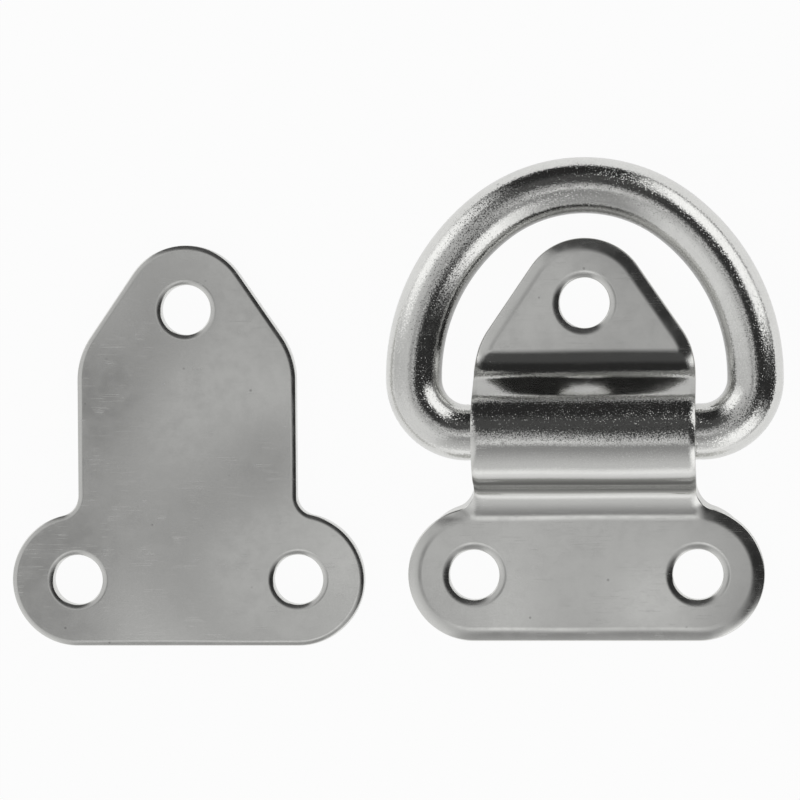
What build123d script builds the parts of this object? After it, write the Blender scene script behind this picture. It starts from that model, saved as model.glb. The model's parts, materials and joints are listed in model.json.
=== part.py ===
"""A folding lashing ring: a D-shaped ring of round bar, the pressed strap plate that it folds under,
and the flat backing plate that goes behind the panel.

Millimetres. +X runs along the ring's straight leg, +Y from the two lower bolt holes to the upper one, and
+Z away from the panel. The origin is midway between the strap plate's lower holes, on its mounting face.
"""

from build123d import *

import os
from math import acos, asin, cos, degrees, radians, sin, tan

# Bolt holes, alike in both plates
BOLT_HOLE = 9.0
LOWER_HOLE_SPACING = 40.0
EAR_WALL = 7.4
TIP_WALL = 7.1

# Outline of both plates
NECK_WIDTH = 39.6
NECK_CORNER = 3.7
SHOULDER_RADIUS = 14.0
TIP_HALF_ANGLE = 34.5

# Pressed strap plate
STRAP_SHEET = 3.0
HUMP_FOOT_RADIUS = 6.3
UPPER_WALL_TILT = 56.0
LOWER_HOLE_TO_HUMP = 9.9
HUMP_TO_UPPER_HOLE = 8.0
STRAP_FRONT_ROUND = 1.2
STRAP_BACK_CHAMFER = 0.3
STRAP_RIM_ROUND = 0.8

# Ring, whose curves are measured on the bar's centre line
RING_BAR = 10.0
RING_CORNER = 9.5
RING_WAIST = 9.8
CROWN_FROM = 52.5
RING_TO_NECK = 5.6
RING_TO_TIP = 4.3

# The ring's leg in the hump
CHANNEL_CLEARANCE = 1.2
LEG_PAST_CREST = 0.8

# Backing plate, laid beside the ring
BACKING_SHEET = 3.0
BACKING_FRONT_CHAMFER = 0.4
BACKING_BACK_CHAMFER = 0.3
BACKING_RIM_CHAMFER = 0.4
BACKING_TO_RING = 4.4
BACKING_BELOW_STRAP = 0.8

# Lengths closer than this are the same, and cuts run this far past what they cut
SAME = 1e-6
OVERRUN = 5.0

# The hump is a round crest between two feet, with the crest's centre on the leg's level. The crest meets the
# lower foot directly. On the upper side a straight wall of less tilt lies between crest and foot.
leg_z = RING_BAR / 2
channel_radius = RING_BAR / 2 + CHANNEL_CLEARANCE
crest_radius = channel_radius + STRAP_SHEET
crest_to_foot = crest_radius + HUMP_FOOT_RADIUS
foot_over_leg = STRAP_SHEET + HUMP_FOOT_RADIUS - leg_z
lower_wall_tilt = degrees(acos(foot_over_leg / crest_to_foot))
lower_reach = crest_to_foot * sin(radians(lower_wall_tilt))
upper_wall_rise = crest_to_foot * cos(radians(UPPER_WALL_TILT)) - foot_over_leg
upper_wall_run = upper_wall_rise / tan(radians(UPPER_WALL_TILT))
upper_reach = crest_to_foot * sin(radians(UPPER_WALL_TILT)) + upper_wall_run

# Places along Y, from the lower holes up
ear_radius = BOLT_HOLE / 2 + EAR_WALL
tip_radius = BOLT_HOLE / 2 + TIP_WALL
ears_half = LOWER_HOLE_SPACING / 2 + ear_radius
hump_y = LOWER_HOLE_TO_HUMP + lower_reach
upper_hole_y = hump_y + upper_reach + HUMP_TO_UPPER_HOLE
tip_y = upper_hole_y + tip_radius
leg_y = hump_y + LEG_PAST_CREST

# The ring's centre line: its half width at the waist, its crown's height over the leg, and its arcs
ring_half = NECK_WIDTH / 2 + RING_TO_NECK + RING_BAR / 2
ring_rise = tip_y + RING_TO_TIP + RING_BAR / 2 - leg_y

hole_places = [
    (-LOWER_HOLE_SPACING / 2, 0),
    (LOWER_HOLE_SPACING / 2, 0),
    (0, upper_hole_y),
]


def plan_outline():
    """The outline that both plates share: two round ears, a straight neck and a rounded point."""
    neck = NECK_WIDTH / 2
    apex = upper_hole_y + tip_radius / sin(radians(TIP_HALF_ANGLE))
    shoulder = apex - neck / tan(radians(TIP_HALF_ANGLE))
    with BuildSketch() as plan:
        with BuildLine():
            Polyline((-neck, 0), (neck, 0), (neck, shoulder), (0, apex), (-neck, shoulder), close=True)
        make_face()
        fillet(plan.vertices().sort_by(Axis.Y)[-1], tip_radius)
        fillet([v for v in plan.vertices() if abs(v.Y - shoulder) < SAME], SHOULDER_RADIUS)
        with Locations(*hole_places[:2]):
            Circle(ear_radius)
        with Locations((0, -ear_radius / 2)):
            Rectangle(LOWER_HOLE_SPACING, ear_radius)
        neck_foot = [v for v in plan.vertices() if abs(abs(v.X) - neck) < SAME and 0 < v.Y < hump_y]
        fillet(neck_foot, NECK_CORNER)
    return plan.sketch


def sheet_rims(part, facing):
    """The edges where a sheet's cut edge meets its front face (facing 1) or its back face (facing -1)."""
    walls = [face for face in part.faces() if abs(face.normal_at(face.center()).Z) < SAME]
    wall_edges = [edge for face in walls for edge in face.edges()]
    broad = [face for face in part.faces() if face.normal_at(face.center()).Z * facing > SAME]
    return [edge for face in broad for edge in face.edges() if edge in wall_edges]


def drilled(plate, sheet):
    """A plate with its three bolt holes cut, and the holes' front rims."""
    with BuildPart() as drilling:
        add(plate)
        with Locations(*[(x, y, sheet) for x, y in hole_places]):
            Hole(BOLT_HOLE / 2)
    circles = drilling.edges().filter_by(GeomType.CIRCLE)
    rims = [edge for edge in circles if abs(edge.radius - BOLT_HOLE / 2) < SAME]
    return drilling.part, [rim for rim in rims if abs(rim.center().Z - sheet) < SAME]


def pressed_sheet():
    """The strap's sheet before it is cut to its outline: flat, over the leg in one round hump, and flat."""
    with BuildPart() as sheet:
        with BuildSketch(Plane.YZ):
            with BuildLine():
                foot_under = HUMP_FOOT_RADIUS + STRAP_SHEET
                lower = Line((-ear_radius - OVERRUN, 0), (LOWER_HOLE_TO_HUMP, 0))
                rise = JernArc(lower @ 1, lower % 1, foot_under, lower_wall_tilt)
                crest = JernArc(rise @ 1, rise % 1, channel_radius, -lower_wall_tilt - UPPER_WALL_TILT)
                wall = Line(crest @ 1, crest @ 1 + Vector(upper_wall_run, -upper_wall_rise))
                fall = JernArc(wall @ 1, wall % 1, foot_under, UPPER_WALL_TILT)
                Line(fall @ 1, (tip_y + OVERRUN, 0))
                offset(amount=STRAP_SHEET, side=Side.LEFT)
            make_face()
        extrude(amount=ears_half + OVERRUN, both=True)
    return sheet.part


def strap_plate():
    """The pressed strap: one sheet with a hump over the ring's leg, with its front edges well rounded."""
    strap = pressed_sheet() & extrude(plan_outline(), leg_z + crest_radius + OVERRUN)
    strap = fillet(sheet_rims(strap, 1), STRAP_FRONT_ROUND)
    strap = chamfer(sheet_rims(strap, -1), STRAP_BACK_CHAMFER)
    strap, rims = drilled(strap, STRAP_SHEET)
    return fillet(rims, STRAP_RIM_ROUND)


def backing_plate():
    """The flat plate of the same outline, lying beside the ring."""
    plate = extrude(plan_outline(), BACKING_SHEET)
    plate = chamfer(sheet_rims(plate, 1), BACKING_FRONT_CHAMFER)
    plate = chamfer(sheet_rims(plate, -1), BACKING_BACK_CHAMFER)
    plate, rims = drilled(plate, BACKING_SHEET)
    aside = ring_half + RING_BAR / 2 + BACKING_TO_RING + ears_half
    return Pos(-aside, -BACKING_BELOW_STRAP, 0) * chamfer(rims, BACKING_RIM_CHAMFER)


def half_ring_line():
    """Half of the bar's centre line: half the straight leg, a corner, a flank and half the crown."""
    crown_turn = radians(CROWN_FROM)
    radius_drop = (ring_rise - RING_WAIST - ring_half) / (sin(crown_turn) + cos(crown_turn) - 1)
    flank_radius = ring_half + radius_drop * cos(crown_turn)
    crown_radius = flank_radius - radius_drop
    corner_in = flank_radius - RING_CORNER
    corner_drop = degrees(asin((RING_WAIST - RING_CORNER) / corner_in))
    leg_half = ring_half - flank_radius + corner_in * cos(radians(corner_drop))
    with BuildLine() as line:
        leg = Line((0, 0), (leg_half, 0))
        corner = JernArc(leg @ 1, leg % 1, RING_CORNER, 90 - corner_drop)
        flank = JernArc(corner @ 1, corner % 1, flank_radius, CROWN_FROM + corner_drop)
        JernArc(flank @ 1, flank % 1, crown_radius, 90 - CROWN_FROM)
    return line.line


def lashing_ring():
    """The bent bar, its ends butt welded in the middle of the leg and dressed flush."""
    with BuildPart() as ring:
        with BuildSketch(Plane.YZ):
            Circle(RING_BAR / 2)
        sweep(path=half_ring_line())
        mirror(about=Plane.YZ)
    return Pos(0, leg_y, leg_z) * ring.part


nodes = {
    "strap_plate": strap_plate(),
    "lashing_ring": lashing_ring(),
    "backing_plate": backing_plate(),
}

os.makedirs("parts", exist_ok=True)
for name, solid in nodes.items():
    export_step(solid, f"parts/{name}.step")
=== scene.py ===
import json
import math

import bpy
import numpy as np
from mathutils import Matrix, Vector
from mathutils.geometry import delaunay_2d_cdt


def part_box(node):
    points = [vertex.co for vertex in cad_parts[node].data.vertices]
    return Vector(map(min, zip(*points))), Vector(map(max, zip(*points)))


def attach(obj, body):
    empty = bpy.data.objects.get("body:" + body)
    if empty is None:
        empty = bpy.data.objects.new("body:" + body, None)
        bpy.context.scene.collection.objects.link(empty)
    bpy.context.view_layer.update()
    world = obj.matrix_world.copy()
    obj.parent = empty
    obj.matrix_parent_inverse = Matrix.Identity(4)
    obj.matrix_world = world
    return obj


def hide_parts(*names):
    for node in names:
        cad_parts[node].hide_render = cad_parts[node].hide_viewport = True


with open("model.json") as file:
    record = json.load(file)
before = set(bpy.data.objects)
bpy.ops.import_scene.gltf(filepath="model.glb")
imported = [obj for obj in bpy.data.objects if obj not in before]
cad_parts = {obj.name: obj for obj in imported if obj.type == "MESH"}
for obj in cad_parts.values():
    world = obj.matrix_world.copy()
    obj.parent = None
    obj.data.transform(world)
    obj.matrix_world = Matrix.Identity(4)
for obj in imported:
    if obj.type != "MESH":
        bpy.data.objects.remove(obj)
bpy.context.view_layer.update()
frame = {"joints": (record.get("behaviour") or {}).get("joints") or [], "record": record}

MM = 0.001

# Sizes of the pieces that the frame doesn't give, in metres and radians
NECK_WIDTH = 39.6 * MM
NECK_CORNER = 3.7 * MM
SHOULDER_RADIUS = 14.0 * MM
TIP_HALF_ANGLE = math.radians(34.5)
SHEET = 3.0 * MM
HUMP_FOOT_RADIUS = 6.3 * MM
UPPER_WALL_TILT = math.radians(58)
CHANNEL_CLEARANCE = 1.2 * MM
LEG_PAST_CREST = 0.8 * MM
RING_CORNER = 9.5 * MM
RING_WAIST = 9.8 * MM
CROWN_FROM = math.radians(52.5)

# The sheets' cut edges: a wide shallow roll with its turn, the round outside it, and the back edge's round
STRAP_EDGE = (8.0 * MM, math.radians(17), 0.35 * MM, 0.30 * MM)
STRAP_RIM = (4.2 * MM, math.radians(17), 0.30 * MM, 0.15 * MM)
BACKING_EDGE = (3.0 * MM, math.radians(16), 0.25 * MM, 0.30 * MM)
BACKING_RIM = (3.2 * MM, math.radians(16), 0.25 * MM, 0.15 * MM)

# A cut edge is worn where it tilts between these, in radians, and less so beside that
WORN_TILTS = (0.1, 2.5)
EDGE_WEAR = 1.0
BESIDE_WEAR = 0.3

# Over this first height above the flanges the strap's roll narrows to half and its grain comes in
HUMP_START = 2.5 * MM

# Shade is painted into the tint where the hump's walls tilt more than this, and less so on the upper wall
SHADE_TILT = math.radians(46)
SHADE_SOFTNESS = math.radians(14)
UPPER_WALL_SHADE = 0.5
SHADE_TINT = 0.32

# The hump's grain is full on its upper side and this much of it on its lower side, and changes between two
# slopes of the crest, in radians
LOWER_GRAIN = 0.25
LOWER_SLOPES = (-0.10, 0.20)

# Shade is painted into the tint of the bar's inner side too, fully up to the first facing and not at all from
# the second.
# The leg has none of it.
SHADED_INNER_FACING = (-0.94, -0.74)
INNER_SHADE = 0.85

# Shade is painted into the tint of the crown's inner side in the same way, where it lies straight across from
# the leg
CROWN_SHADE_REACH = (-0.55, -0.10)
CROWN_PAINTED_SHADE = 0.65
CROWN_SPAN = (0.78, 0.97)

# How finely the meshes are cut, and how far the broad faces' inner points stay from their rims
OUTLINE_STEP = 0.45 * MM
HOLE_STEP = 0.75 * OUTLINE_STEP
FLAT_STEP = 0.8 * MM
FLAT_CLEAR = 0.7 * FLAT_STEP
ROLL_STEPS = 7
ROUND_STEPS = 5
FOLD_STEPS = 4000
BAR_SIDES = 72

# The triangulation keeps what lies inside its edges, and takes points this near to each other as one
INSIDE_EDGES = 1
SAME_POINT = 1e-9

# The camera looks down on the pieces, from a little right of the picture's middle and a little above it
AIM = Vector((-33.1, 31.4, 3.0)) * MM
CAMERA_DISTANCE = 761.5 * MM
FRAME_WIDTH = 143.3 * MM
TILT_RIGHT = math.radians(4.92)
TILT_UP = math.radians(1.35)
CAMERA_ROLL = math.radians(-0.40)
SENSOR_WIDTH = 36
CLIP_START = 0.01
CLIP_END = 20


def mount(name):
    """A mount's place in the frame and its bore radius, in metres."""
    found = next(m for m in frame["record"]["mounts"] if m["name"] == name)
    return np.array(found["pos_m"]), found["dims"].get("r_mm", 0) * MM


def arc(centre, radius, start, end, step=OUTLINE_STEP):
    """Points along an arc from the angle start to the angle end, without its last point."""
    count = max(2, round(abs(end - start) * radius / step))
    turn = start + (end - start) * np.arange(count) / count
    return np.column_stack([centre[0] + radius * np.cos(turn), centre[1] + radius * np.sin(turn)])


def run(start, end):
    """Points along a straight run, without its last point."""
    start, end = np.array(start), np.array(end)
    count = max(1, round(np.linalg.norm(end - start) / OUTLINE_STEP))
    return start + (end - start) * (np.arange(count) / count)[:, None]


def plan_outline(holes, ear_radius, tip_radius):
    """The outline that both plates share, anticlockwise from the middle of its lower edge."""
    right, top = holes[1], holes[2]
    middle = (holes[0][0] + right[0]) / 2
    neck = NECK_WIDTH / 2
    corner_x = neck + NECK_CORNER - (right[0] - middle)
    corner_turn = math.acos(corner_x / (ear_radius + NECK_CORNER))
    corner_y = (ear_radius + NECK_CORNER) * math.sin(corner_turn)
    apex = top[1] - right[1] + tip_radius / math.sin(TIP_HALF_ANGLE)
    shoulder = apex - neck / math.tan(TIP_HALF_ANGLE)
    shoulder_low = shoulder - SHOULDER_RADIUS * math.tan(TIP_HALF_ANGLE / 2)
    shoulder_turn = np.array([math.cos(TIP_HALF_ANGLE), math.sin(TIP_HALF_ANGLE)])
    shoulder_centre = np.array([neck - SHOULDER_RADIUS, shoulder_low])
    shoulder_end = shoulder_centre + SHOULDER_RADIUS * shoulder_turn
    tip_centre = np.array([0, top[1] - right[1]])
    half = np.concatenate([
        run((0, -ear_radius), (right[0] - middle, -ear_radius)),
        arc((right[0] - middle, 0), ear_radius, -math.pi / 2, corner_turn),
        arc((neck + NECK_CORNER, corner_y), NECK_CORNER, corner_turn + math.pi, math.pi),
        run((neck, corner_y), (neck, shoulder_low)),
        arc(shoulder_centre, SHOULDER_RADIUS, 0, TIP_HALF_ANGLE),
        run(shoulder_end, tip_centre + tip_radius * shoulder_turn),
        arc(tip_centre, tip_radius, TIP_HALF_ANGLE, math.pi / 2),
        [[0, tip_centre[1] + tip_radius]],
    ])
    other = half[1:-1][::-1] * (-1, 1)
    return np.concatenate([half, other]) + (middle, right[1])


def outward(loop):
    """Unit normals in plan of a closed loop of points, away from what lies on its left."""
    along = np.roll(loop, -1, axis=0) - np.roll(loop, 1, axis=0)
    normal = np.column_stack([along[:, 1], -along[:, 0]])
    return normal / np.linalg.norm(normal, axis=1)[:, None]


def edge_profile(roll_radius, roll_turn, round_radius, back_radius):
    """A cut edge from the front face to the back: each row's inset, depth under the front, and tilt."""
    width = roll_radius * math.sin(roll_turn) + round_radius * (1 - math.sin(roll_turn))
    rows = []
    for tilt in np.linspace(0, roll_turn, ROLL_STEPS + 1):
        rows.append((width - roll_radius * math.sin(tilt), roll_radius * (1 - math.cos(tilt)), tilt))
    inset, depth = rows[-1][:2]
    for tilt in np.linspace(roll_turn, math.pi / 2, ROUND_STEPS + 1)[1:]:
        in_step = round_radius * (math.sin(tilt) - math.sin(roll_turn))
        down = round_radius * (math.cos(roll_turn) - math.cos(tilt))
        rows.append((inset - in_step, depth + down, tilt))
    for tilt in np.linspace(math.pi / 2, math.pi, ROUND_STEPS + 1):
        rows.append((back_radius * (1 - math.sin(tilt)), SHEET - back_radius * (1 + math.cos(tilt)), tilt))
    return rows


class Sheet:
    """A plate's mesh as it grows: points of the flat blank, with their depth under the front face."""

    def __init__(self):
        self.plan = []
        self.depth = []
        self.normal = []
        self.wear = []
        self.faces = []

    def add(self, plan, depth, normal, wear):
        """Add points of one depth and wear, their normals sideways in plan and up, and give their numbers."""
        first = len(self.plan)
        self.plan.extend(plan)
        self.depth.extend([depth] * len(plan))
        self.normal.extend(normal)
        self.wear.extend([wear] * len(plan))
        return list(range(first, len(self.plan)))

    def band(self, one, two):
        """Faces between two closed loops of as many points."""
        count = len(one)
        for i in range(count):
            j = (i + 1) % count
            self.faces.append((one[i], one[j], two[j], two[i]))

    def edge(self, loop, profile, width=1.0):
        """The sheet's cut edge along a loop that has the metal on its left, from front face to back face."""
        side = outward(loop)
        width = np.broadcast_to(width, len(loop))[:, None]
        rows = []
        for inset, depth, tilt in profile:
            normal = np.column_stack([side * math.sin(tilt), np.full(len(loop), math.cos(tilt))])
            wear = EDGE_WEAR if WORN_TILTS[0] < tilt < WORN_TILTS[1] else BESIDE_WEAR
            rows.append(self.add(loop - side * inset * width, depth, normal, wear))
        for one, two in zip(rows, rows[1:]):
            self.band(two, one)
        return rows[0], rows[-1]

    def cap(self, outer, inner, depth, facing):
        """The broad face inside the outer loop and round the inner ones."""
        loops = [outer, *inner]
        rims = [np.array([self.plan[i] for i in loop]) for loop in loops]
        grid = fill_points(rims)
        own = self.add(grid, depth, [(0, 0, facing)] * len(grid), 0.0)
        numbers = [i for loop in loops for i in loop] + own
        points = [Vector(self.plan[i]) for i in numbers]
        edges = []
        start = 0
        for loop in loops:
            edges += [(start + i, start + (i + 1) % len(loop)) for i in range(len(loop))]
            start += len(loop)
        made = delaunay_2d_cdt(points, edges, [], INSIDE_EDGES, SAME_POINT)
        origin = [found[0] if found else None for found in made[3]]
        plan = np.array([tuple(p) for p in made[0]])
        centres = np.array([plan[list(face)].mean(axis=0) for face in made[2]])
        for face, kept in zip(made[2], between(centres, rims)):
            if kept:
                turned = face if facing > 0 else face[::-1]
                self.faces.append(tuple(numbers[origin[i]] for i in turned))


def inside(points, loop):
    """Which plan points lie inside a closed loop."""
    x, y = points[:, 0][:, None], points[:, 1][:, None]
    ax, ay = loop[:, 0], loop[:, 1]
    bx, by = np.roll(ax, -1), np.roll(ay, -1)
    crosses = (ay > y) != (by > y)
    rise = np.where(by == ay, 1, by - ay)
    at = ax + (y - ay) * (bx - ax) / rise
    return np.count_nonzero(crosses & (x < at), axis=1) % 2 == 1


def between(points, rims):
    """Which plan points lie inside the first loop and outside the others."""
    kept = inside(points, rims[0])
    for rim in rims[1:]:
        kept &= ~inside(points, rim)
    return kept


def fill_points(rims):
    """A grid of points between the loops, kept clear of them by most of a step."""
    low, high = rims[0].min(axis=0), rims[0].max(axis=0)
    across = np.arange(low[0] + FLAT_STEP / 2, high[0], FLAT_STEP)
    up = np.arange(low[1] + FLAT_STEP / 2, high[1], FLAT_STEP)
    grid = np.stack(np.meshgrid(across, up), axis=-1).reshape(-1, 2)
    grid = grid[between(grid, rims)]
    gaps = np.abs(grid[:, None] - np.concatenate(rims)[None]).sum(axis=2).min(axis=1)
    return grid[gaps > FLAT_CLEAR]


def circle(centre, radius):
    """A closed loop round a hole, clockwise, so that the metal is on its left."""
    return arc(centre, radius, 2 * math.pi, 0, HOLE_STEP)


def flat_fold(along):
    """A flat sheet's fold: its points stay where they are in the blank, without height or slope."""
    return along, np.zeros_like(along), np.zeros_like(along)


def hump_fold(hump_y, leg_z, bar_radius):
    """How the strap's blank folds over the leg: how much longer it is than the strap, and the fold itself."""
    crest_radius = bar_radius + CHANNEL_CLEARANCE + SHEET
    crest_to_foot = crest_radius + HUMP_FOOT_RADIUS
    foot_over_leg = SHEET + HUMP_FOOT_RADIUS - leg_z
    lower_tilt = math.acos(foot_over_leg / crest_to_foot)
    wall_rise = crest_to_foot * math.cos(UPPER_WALL_TILT) - foot_over_leg
    runs = [
        HUMP_FOOT_RADIUS * lower_tilt,
        crest_radius * (lower_tilt + UPPER_WALL_TILT),
        wall_rise / math.sin(UPPER_WALL_TILT),
        HUMP_FOOT_RADIUS * UPPER_WALL_TILT,
    ]
    start = hump_y - crest_to_foot * math.sin(lower_tilt)
    marks = start + np.concatenate([[0], np.cumsum(runs)])
    slopes = [0, lower_tilt, -UPPER_WALL_TILT, -UPPER_WALL_TILT, 0]
    table = np.linspace(marks[0], marks[-1], FOLD_STEPS + 1)
    slope = np.interp(table, marks, slopes)
    step = table[1] - table[0]
    middle = (slope[1:] + slope[:-1]) / 2
    table_y = start + np.concatenate([[0], np.cumsum(np.cos(middle) * step)])
    table_z = np.concatenate([[0], np.cumsum(np.sin(middle) * step)])
    stretch = marks[-1] - table_y[-1]

    def fold(along):
        y = np.interp(along, table, table_y)
        y = y + np.minimum(along - marks[0], 0) + np.maximum(along - marks[-1], 0)
        return y, np.interp(along, table, table_z), np.interp(along, marks, slopes)

    return stretch, fold


def new_object(name, points, faces, normals):
    """A mesh object from points and faces, smoothly shaded with the true surface's own normals."""
    mesh = bpy.data.meshes.new(name)
    mesh.from_pydata([tuple(p) for p in points], [], faces)
    mesh.update()
    mesh.polygons.foreach_set("use_smooth", [True] * len(mesh.polygons))
    mesh.normals_split_custom_set_from_vertices([tuple(n) for n in normals])
    made = bpy.data.objects.new(name, mesh)
    bpy.context.scene.collection.objects.link(made)
    return made


def point_numbers(piece, name, values):
    """Keep one number a point on a piece's mesh, for its material."""
    layer = piece.data.attributes.new(name, "FLOAT", "POINT")
    layer.data.foreach_set("value", np.asarray(values, dtype=np.float32))


def build_sheet(name, outline, holes, bore, fold, profiles):
    """A plate as one closed mesh: its edges, its hole rims and both broad faces, folded to shape."""
    edge, rim = profiles
    sheet = Sheet()
    on_hump = np.clip(fold(outline[:, 1])[1] / HUMP_START, 0, 1)
    front, back = sheet.edge(outline, edge_profile(*edge), 1 - on_hump / 2)
    rims = [sheet.edge(circle(hole, bore), edge_profile(*rim)) for hole in holes]
    sheet.cap(front, [rim[0] for rim in rims], 0.0, 1)
    sheet.cap(back, [rim[1] for rim in rims], SHEET, -1)
    plan, depth, normal = np.array(sheet.plan), np.array(sheet.depth), np.array(sheet.normal)
    y, height, slope = fold(plan[:, 1])
    sin, cos = np.sin(slope), np.cos(slope)
    points = np.column_stack([plan[:, 0], y + sin * depth, SHEET + height - cos * depth])
    along, up = normal[:, 1], normal[:, 2]
    normals = np.column_stack([normal[:, 0], along * cos - up * sin, along * sin + up * cos])
    piece = new_object(name, points, sheet.faces, normals)
    # Shade is painted into the tint on the hump's steep walls, less on the upper one, and the grain stays off
    # there
    crease = np.clip((np.abs(slope) - SHADE_TILT) / SHADE_SOFTNESS, 0, 1)
    graining = np.interp(slope, LOWER_SLOPES, (1, LOWER_GRAIN))
    point_numbers(piece, "wear", sheet.wear)
    point_numbers(piece, "bent", np.clip(height / HUMP_START, 0, 1) * (1 - crease) * graining)
    point_numbers(piece, "crease", crease * np.where(slope > 0, 1, UPPER_WALL_SHADE))
    return piece


def plate(node, name, mounts, stretch, fold, profiles):
    """One of the two plates, from its mounts and its box in the frame."""
    found = [mount(m) for m in mounts]
    holes = [place[:2] for place, _ in found]
    low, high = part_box(node)
    ear_radius = holes[0][1] - low.y
    tip_radius = high.y - holes[2][1]
    holes[2] = holes[2] + (0, stretch)
    outline = plan_outline(holes, ear_radius, tip_radius)
    return build_sheet(name, outline, holes, found[0][1], fold, profiles)


def half_ring_line(half, rise):
    """Half of the bar's centre line in plan, from the leg's middle to the crown's."""
    radius_drop = (rise - RING_WAIST - half) / (math.sin(CROWN_FROM) + math.cos(CROWN_FROM) - 1)
    flank_radius = half + radius_drop * math.cos(CROWN_FROM)
    crown_radius = flank_radius - radius_drop
    corner_in = flank_radius - RING_CORNER
    corner_drop = math.asin((RING_WAIST - RING_CORNER) / corner_in)
    leg_half = half - flank_radius + corner_in * math.cos(corner_drop)
    return np.concatenate([
        run((0, 0), (leg_half, 0)),
        arc((leg_half, RING_CORNER), RING_CORNER, -math.pi / 2, -corner_drop),
        arc((half - flank_radius, RING_WAIST), flank_radius, -corner_drop, CROWN_FROM),
        arc((0, rise - crown_radius), crown_radius, CROWN_FROM, math.pi / 2),
        [[0, rise]],
    ])


def build_ring(leg):
    """The ring as one tube along its centre line."""
    low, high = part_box("lashing_ring")
    bar = (high.z - low.z) / 2
    half = half_ring_line(high.x - bar, high.y - bar - leg.y)
    line = np.concatenate([half, half[1:-1][::-1] * (-1, 1)]) + (leg.x, leg.y)
    side = outward(line)
    count = len(line)
    turn = 2 * math.pi * np.arange(BAR_SIDES) / BAR_SIDES
    facing_out = np.tile(np.cos(turn), count)
    facing_up = np.tile(np.sin(turn), count)
    normals = np.column_stack([np.repeat(side, BAR_SIDES, axis=0) * facing_out[:, None], facing_up])
    centres = np.column_stack([line, np.full(count, leg.z)])
    points = np.repeat(centres, BAR_SIDES, axis=0) + normals * bar
    faces = []
    for i in range(count):
        j = (i + 1) % count
        for k in range(BAR_SIDES):
            m = (k + 1) % BAR_SIDES
            faces.append((i * BAR_SIDES + k, j * BAR_SIDES + k, j * BAR_SIDES + m, i * BAR_SIDES + m))
    piece = new_object("ring_bar", points, faces, normals)
    steps = np.linalg.norm(np.roll(line, -1, axis=0) - line, axis=1)
    length = np.concatenate([[0], np.cumsum(steps)[:-1]])
    over_leg = np.repeat(np.clip((line[:, 1] - leg.y) / (2 * bar), 0, 1), BAR_SIDES)
    # Painted shade on the crown's inner side, where it lies straight across from the leg
    at_crown = np.repeat(np.interp(side[:, 1], CROWN_SPAN, (0, 1)), BAR_SIDES)
    # Painted shade on the bar's inner side, away from the leg
    shade_inside = np.interp(facing_out, SHADED_INNER_FACING, (INNER_SHADE, 0)) * over_leg
    shade_on_crown = np.interp(facing_out, CROWN_SHADE_REACH, (CROWN_PAINTED_SHADE, 0)) * at_crown
    point_numbers(piece, "bar_length", np.repeat(length, BAR_SIDES))
    point_numbers(piece, "bar_out", facing_out)
    point_numbers(piece, "bar_up", facing_up)
    point_numbers(piece, "crease", np.maximum(shade_inside, shade_on_crown))
    return piece


class Nodes:
    """A node tree with short calls for the nodes that it is built from."""

    def __init__(self, tree):
        self.tree = tree

    def put(self, kind, values=(), **settings):
        """Add a node. Its values go by an input's name or number, and are numbers, colours or outputs."""
        node = self.tree.nodes.new(kind)
        for name, value in settings.items():
            setattr(node, name, value)
        for key, value in dict(values).items():
            if isinstance(value, bpy.types.NodeSocket):
                self.tree.links.new(value, node.inputs[key])
            else:
                node.inputs[key].default_value = value
        return node

    def math(self, operation, *values):
        """One math node's result."""
        return self.put("ShaderNodeMath", enumerate(values), operation=operation).outputs[0]

    def product(self, first, *others):
        """Several numbers multiplied."""
        for other in others:
            first = self.math("MULTIPLY", first, other)
        return first

    def vector(self, operation, *values):
        """One vector math node's result."""
        return self.put("ShaderNodeVectorMath", enumerate(values), operation=operation).outputs[0]

    def scaled(self, vector, scale):
        """A place, a direction or a colour times a number."""
        made = self.put("ShaderNodeVectorMath", {0: vector, "Scale": scale}, operation="SCALE")
        return made.outputs[0]

    def swing(self, color, amount):
        """A noise's colour as a small turn either way."""
        return self.scaled(self.vector("SUBTRACT", color, (0.5, 0.5, 0.5)), amount)

    def stretched(self, place, scales, turn=0.0):
        """A place scaled by its own amount along each axis, then turned about the third."""
        made = self.put("ShaderNodeMapping", {"Vector": place, "Rotation": (0, 0, turn), "Scale": scales})
        return made.outputs[0]

    def step(self, value, low, high):
        """A smooth step from 0 at low to 1 at high."""
        given = {"Value": value, "From Min": low, "From Max": high}
        made = self.put("ShaderNodeMapRange", given, interpolation_type="SMOOTHSTEP")
        return made.outputs["Result"]

    def band(self, value, low, high, soft):
        """1 between low and high and 0 outside, with soft edges."""
        rise = self.step(value, low - soft, low + soft)
        fall = self.step(value, high + soft, high - soft)
        return self.product(rise, fall)

    def mix(self, factor, one, two):
        """A number between two others."""
        made = self.put("ShaderNodeMix", {0: factor, 2: one, 3: two}, data_type="FLOAT")
        return made.outputs[0]

    def either_way(self, factor, amount):
        """A number from 1 less the amount to 1 and the amount, as the factor goes from 0 to 1."""
        return self.mix(factor, 1.0 - amount, 1.0 + amount)

    def attribute(self, name):
        """A number that a piece's mesh keeps at its points."""
        return self.put("ShaderNodeAttribute", attribute_name=name).outputs["Fac"]

    def noise(self, place, scale, detail, roughness):
        """Noise's number and its colour at a place; the scale is features in one of the place's units."""
        given = {"Vector": place, "Scale": scale, "Detail": detail, "Roughness": roughness}
        return self.put("ShaderNodeTexNoise", given).outputs


# Noises of the steel, as scale in features a millimetre, detail and roughness. The grain's scale is in its
# look, and the streaks' in their places.
CLOUD = (0.07, 3.0, 0.55)
SMEAR = (0.35, 4.0, 0.6)
STREAK = (1.0, 4.0, 0.6)
DISH = (0.045, 0.0, 0.5)
GRAIN = (1.0, 0.5)

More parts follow.
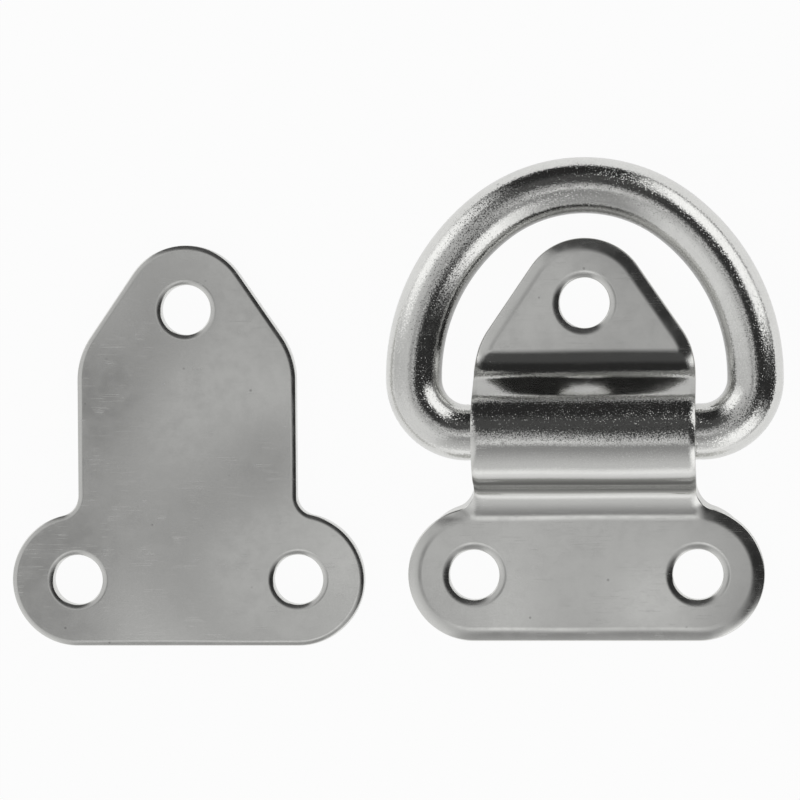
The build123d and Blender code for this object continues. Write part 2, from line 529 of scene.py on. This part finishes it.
# Scratches are the peaks of a noise drawn out along X, and lie in patches. Each set's patches have a scale of
# their own.
SCRATCH = (1.0, 0.0, 0.5)
SCRATCH_ALONG = 0.12
SCRATCH_PEAK = (0.74, 0.78)
PATCH_SCALE = 0.23
PATCH_SPREAD = 30
PATCH_SMOOTH = (0.0, 0.5)
PATCH_PEAK = (0.60, 0.66)

# Specks are the middles of a few cells: where a speck ends and is full, and how few cells have one
SPECK_REACH = (0.16, 0.08)
SPECK_PICK = (0.93, 0.95)

# What the clouds, smears and grain change, from where in their noise to where
CLOUD_TINT = (0.3, 0.7)
SMEAR_TINT = (0.35, 0.75)
SMEAR_POLISH = (0.3, 0.8)
GRAIN_PIT = (0.56, 0.68)

# How much specks darken the tint and scratches lighten it, and what roughens the polish
SPECK_SHADE = 0.28
SCRATCH_SHADE = 0.04
POLISH_RANGE = (-0.02, 0.05)
SCRATCH_ROUGH = 0.12
WEAR_ROUGH = 0.10

# Scales of the streaks: on a plate along X and across it, a millimetre, and on the ring along the bar, a
# metre, and across it by the way that it faces
PLATE_STREAKS = (0.04, 1.6, 1.6)
BAR_STREAKS = (60.0, 7.0, 7.0)


def scratches(nodes, place, look):
    """Where fine scratches lie."""
    found = 0.0
    for turn, spacing in look["scratches"]:
        drawn = nodes.stretched(place, (SCRATCH_ALONG, spacing, SCRATCH_ALONG), turn)
        line = nodes.step(nodes.noise(drawn, *SCRATCH)[0], *SCRATCH_PEAK)
        patches = nodes.noise(place, PATCH_SCALE + turn / PATCH_SPREAD, *PATCH_SMOOTH)[0]
        found = nodes.math("MAXIMUM", found, nodes.product(line, nodes.step(patches, *PATCH_PEAK)))
    return found


def specks(nodes, place, look):
    """Where dark specks lie."""
    cells = nodes.put("ShaderNodeTexVoronoi", {"Vector": place, "Scale": look["speck_scale"]}).outputs
    pick = nodes.put("ShaderNodeSeparateColor", {0: cells["Color"]}).outputs[0]
    return nodes.product(nodes.step(cells["Distance"], *SPECK_REACH), nodes.step(pick, *SPECK_PICK))


def steel(name, color, look, place_of):
    """Polished stainless steel: cloudy tint, uneven polish, fine grain, streaks, scratches, specks and
    painted shade.
    """
    material = bpy.data.materials.new(name)
    material.use_nodes = True
    nodes = Nodes(material.node_tree)
    shader = material.node_tree.nodes["Principled BSDF"]
    link = material.node_tree.links.new
    shader.inputs["Metallic"].default_value = 1.0

    place, streak_place = place_of(nodes)
    cloud = nodes.noise(place, *CLOUD)[0]
    smear = nodes.noise(place, *SMEAR)[0]
    streak = nodes.noise(streak_place, *STREAK)[0]
    grain, grain_way = nodes.noise(place, look["grain_scale"], *GRAIN)
    dish_way = nodes.noise(place, *DISH)[1]
    scratch = scratches(nodes, place, look)
    speck = specks(nodes, place, look)
    crease, wear, bent = [nodes.attribute(kept) for kept in ("crease", "wear", "bent")]

    shade = nodes.product(
        nodes.either_way(nodes.step(cloud, *CLOUD_TINT), look["cloud"]),
        nodes.mix(nodes.step(smear, *SMEAR_TINT), 1.0, 1.0 - look["smear"]),
        nodes.either_way(grain, look["pepper"]),
        nodes.either_way(streak, look["streak_tint"]),
    )
    shade = nodes.math("SUBTRACT", shade, nodes.product(speck, SPECK_SHADE))
    shade = nodes.math("ADD", shade, nodes.product(scratch, SCRATCH_SHADE))
    # Painted shade: the tint darkens where the mesh's points ask for it
    shade = nodes.product(shade, nodes.mix(crease, 1.0, SHADE_TINT))
    link(nodes.scaled(color, shade), shader.inputs["Base Color"])

    finest, dullest = [look["roughness"] + change for change in POLISH_RANGE]
    rough = nodes.mix(nodes.step(smear, *SMEAR_POLISH), finest, dullest)
    rough = nodes.math("ADD", rough, nodes.product(scratch, SCRATCH_ROUGH))
    rough = nodes.math("ADD", rough, nodes.product(wear, smear, WEAR_ROUGH))
    link(rough, shader.inputs["Roughness"])

    height = nodes.product(streak, nodes.mix(bent, look["flat_streak"], look["streak"]))
    height = nodes.math("ADD", height, nodes.product(smear, look["wave"]))
    height = nodes.math("SUBTRACT", height, nodes.product(scratch, look["scratch_depth"]))
    bump = nodes.put("ShaderNodeBump", {"Strength": 1.0, "Distance": MM, "Height": height}).outputs[0]
    swing_by = nodes.product(
        nodes.mix(bent, look["flat_grain"], look["grain"]),
        nodes.mix(nodes.step(grain, *GRAIN_PIT), 1.0, look["pit"]),
    )
    turned = nodes.vector("ADD", nodes.swing(grain_way, swing_by), nodes.swing(dish_way, look["dish"]))
    facing = nodes.vector("ADD", bump, turned)
    link(nodes.vector("NORMALIZE", facing), shader.inputs["Normal"])
    return material


def object_place(nodes):
    """Places on a piece in millimetres."""
    return nodes.scaled(nodes.put("ShaderNodeTexCoord").outputs["Object"], 1 / MM)


def plate_place(nodes):
    """Places on a plate, and the same for its streaks, which run along X as the hump does."""
    place = object_place(nodes)
    return place, nodes.stretched(place, PLATE_STREAKS)


def bar_place(nodes):
    """Places on the bar, and for its streaks its length and the way that its surface faces."""
    place = object_place(nodes)
    parts = [nodes.attribute(name) for name in ("bar_length", "bar_out", "bar_up")]
    drawn = nodes.put("ShaderNodeCombineXYZ", enumerate(parts)).outputs[0]
    return place, nodes.stretched(drawn, BAR_STREAKS)


def dress(piece, body, node, material):
    """Put a piece on its body, in place of its CAD node, with its material."""
    piece.data.materials.append(material)
    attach(piece, body)
    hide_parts(node)


leg = Vector(frame["joints"][0]["pos_m"])
ring_low, ring_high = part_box("lashing_ring")
hump_stretch, strap_fold = hump_fold(leg.y - LEG_PAST_CREST, leg.z, (ring_high.z - ring_low.z) / 2)

strap = plate(
    "strap_plate", "pressed_strap", ["strap_bolt_left", "strap_bolt_right", "strap_bolt_top"],
    hump_stretch, strap_fold, (STRAP_EDGE, STRAP_RIM),
)
backing = plate(
    "backing_plate", "flat_backing", ["backing_bolt_left", "backing_bolt_right", "backing_bolt_top"],
    0, flat_fold, (BACKING_EDGE, BACKING_RIM),
)
ring = build_ring(leg)

# How each steel looks. Cloud, smear, pepper and streak_tint vary its tint, and roughness is its polish. Grain
# and flat_grain say how far the grain turns the surface's facing, on bent metal and elsewhere, pit how many
# times further at the grain's peaks, and dish how far a slow wave turns it. Streak, flat_streak, wave and
# scratch_depth are depths in millimetres. Scratches come in sets, each with a turn in radians, which picks
# its own part of the noise, and how close its noise's features are, across a millimetre.
STRAP_LOOK = {
    "roughness": 0.12, "cloud": 0.008, "smear": 0.015, "pepper": 0.05, "streak_tint": 0.006,
    "grain_scale": 4.6, "grain": 0.36, "flat_grain": 0.015, "pit": 2.2, "dish": 0.08,
    "streak": 0.0012, "flat_streak": 0.0002, "wave": 0.001,
    "scratches": ((0.1, 14.0), (1.35, 12.0), (2.3, 13.0)), "scratch_depth": 0.001,
    "speck_scale": 0.5,
}
BACKING_LOOK = dict(STRAP_LOOK, roughness=0.13, pepper=0.03)
RING_LOOK = {
    "roughness": 0.13, "cloud": 0.015, "smear": 0.03, "pepper": 0.12, "streak_tint": 0.05,
    "grain_scale": 4.4, "grain": 0.26, "flat_grain": 0.26, "pit": 3.6, "dish": 0.05,
    "streak": 0.012, "flat_streak": 0.012, "wave": 0.004,
    "scratches": ((0.4, 11.0), (1.9, 10.0)), "scratch_depth": 0.002,
    "speck_scale": 0.4,
}
PLATE_TINT = (0.75, 0.75, 0.73)
RING_TINT = (0.77, 0.77, 0.75)

strap_steel = steel("strap_steel", PLATE_TINT, STRAP_LOOK, plate_place)
backing_steel = steel("backing_steel", PLATE_TINT, BACKING_LOOK, plate_place)
ring_steel = steel("ring_steel", RING_TINT, RING_LOOK, bar_place)
dress(strap, "plates", "strap_plate", strap_steel)
dress(backing, "plates", "backing_plate", backing_steel)
dress(ring, "ring", "lashing_ring", ring_steel)


def build_camera():
    """The camera at the photograph's viewing angle."""
    data = bpy.data.cameras.new("camera")
    data.sensor_width = SENSOR_WIDTH
    data.lens = SENSOR_WIDTH * CAMERA_DISTANCE / FRAME_WIDTH
    data.clip_start = CLIP_START
    data.clip_end = CLIP_END
    camera = bpy.data.objects.new("camera", data)
    bpy.context.scene.collection.objects.link(camera)
    back = Vector((math.tan(TILT_RIGHT), math.tan(TILT_UP), 1)).normalized()
    up = (Vector((0, 1, 0)) - back * back.y).normalized()
    right = up.cross(back)
    rolled_right = right * math.cos(CAMERA_ROLL) + up * math.sin(CAMERA_ROLL)
    rolled_up = up * math.cos(CAMERA_ROLL) - right * math.sin(CAMERA_ROLL)
    turn = Matrix((rolled_right, rolled_up, back)).transposed().to_4x4()
    camera.matrix_world = Matrix.Translation(AIM + back * CAMERA_DISTANCE) @ turn
    bpy.context.scene.camera = camera


# How much of the floor's look is plain white, seen by the camera and in the metal. The rest is its paint,
# which keeps the shadow.
FLOOR_WHITE = 0.95
FLOOR_MIRRORED = 0.75
WHITE = (1, 1, 1, 1)
FLOOR_PAINT = (0.94, 0.94, 0.94, 1)
FLOOR_SIZE = 3
FLOOR_UNDER = 0.2 * MM


def build_floor():
    """A white floor under the pieces."""
    bpy.ops.mesh.primitive_plane_add(size=FLOOR_SIZE, location=(AIM.x, AIM.y, -FLOOR_UNDER))
    floor = bpy.context.object
    floor.name = "floor"
    material = bpy.data.materials.new("floor")
    material.use_nodes = True
    nodes = Nodes(material.node_tree)
    output = material.node_tree.nodes["Material Output"]
    material.node_tree.nodes.remove(material.node_tree.nodes["Principled BSDF"])
    path = nodes.put("ShaderNodeLightPath").outputs
    paint = nodes.put("ShaderNodeBsdfDiffuse", {"Color": FLOOR_PAINT})
    glow = nodes.put("ShaderNodeEmission", {"Color": WHITE, "Strength": 1.0})
    mirrored = nodes.math("MAXIMUM", path["Is Glossy Ray"], path["Is Transmission Ray"])
    seen = nodes.product(path["Is Camera Ray"], FLOOR_WHITE)
    share = nodes.math("MAXIMUM", seen, nodes.product(mirrored, FLOOR_MIRRORED))
    mixed = nodes.put("ShaderNodeMixShader", {0: share, 1: paint.outputs[0], 2: glow.outputs[0]})
    material.node_tree.links.new(mixed.outputs[0], output.inputs["Surface"])
    floor.data.materials.append(material)


# Brightness of the ceiling over the pieces, dark on one side and bright on the other. It changes where a
# direction leans this far toward the bright side.
BRIGHT_CEILING = 0.55
DARK_CEILING = 0.035
BRIGHT_SIDE = math.radians(215)
CEILING_FALL = (-0.16, 0.10)

# Patches of the studio, in degrees. First the middle azimuth from +X to +Y, the half width and its softness,
# then the angle from straight up, from and to, and its softness, and last the level.
STUDIO_PATCHES = {
    "dim ceiling at the left": (187, 25, 22, 8, 17, 2.5, 0.27),
    "pale wall at the left": (207, 44, 10, 28, 110, 14, 0.76),
    "greyer wall at the left": (176, 15, 18, 28, 110, 14, 0.55),
    "bright ceiling at the bottom": (248, 18, 12, 7, 14, 2, 0.88),
    "dim ceiling at the bottom": (268, 22, 8, 18, 110, 3, 0.27),
    "pale wall at the bottom": (268, 22, 8, 44, 110, 26, 0.62),
    "bright foot of the bottom wall": (268, 22, 8, 78, 110, 8, 1.0),
    "dark wall at the top": (100, 30, 7, 14, 110, 6, 0.07),
    "darker foot of the top wall": (100, 30, 7, 46, 110, 8, 0.025),
    "dark wall at the right": (-8, 20, 6, 8, 110, 6, 0.025),
    "upper right lamp": (40, 29, 8, 42, 84, 6, 1.17),
    "lower right lamp": (-54, 20, 13, 36, 85, 9, 1.17),
    "upper left lamp": (146, 17, 12, 45, 85, 9, 1.17),
}


def build_world():
    """The studio that the steel mirrors: pale walls left and below, dark ones elsewhere, three lamps."""
    world = bpy.data.worlds.new("studio")
    bpy.context.scene.world = world
    world.use_nodes = True
    nodes = Nodes(world.node_tree)
    background = world.node_tree.nodes["Background"]
    direction = nodes.put("ShaderNodeTexCoord").outputs["Generated"]
    part = nodes.put("ShaderNodeSeparateXYZ", {0: direction}).outputs
    azimuth = nodes.math("DEGREES", nodes.math("ARCTAN2", part["Y"], part["X"]))
    from_top = nodes.math("DEGREES", nodes.math("ARCCOSINE", part["Z"]))
    bright_way = {0: direction, 1: (math.cos(BRIGHT_SIDE), math.sin(BRIGHT_SIDE), 0)}
    toward = nodes.put("ShaderNodeVectorMath", bright_way, operation="DOT_PRODUCT").outputs["Value"]
    bright = nodes.mix(nodes.step(toward, *CEILING_FALL), DARK_CEILING, BRIGHT_CEILING)
    for middle, half, side_soft, high, low, soft, level in STUDIO_PATCHES.values():
        away = nodes.math("ABSOLUTE", nodes.math("WRAP", nodes.math("SUBTRACT", azimuth, middle), 180, -180))
        around = nodes.step(away, half + side_soft, half - side_soft)
        mask = nodes.product(around, nodes.band(from_top, high, low, soft))
        bright = nodes.mix(mask, bright, level)
    world.node_tree.links.new(bright, background.inputs["Color"])


build_camera()
build_floor()
build_world()

bpy.context.scene.view_settings.view_transform = "Standard"
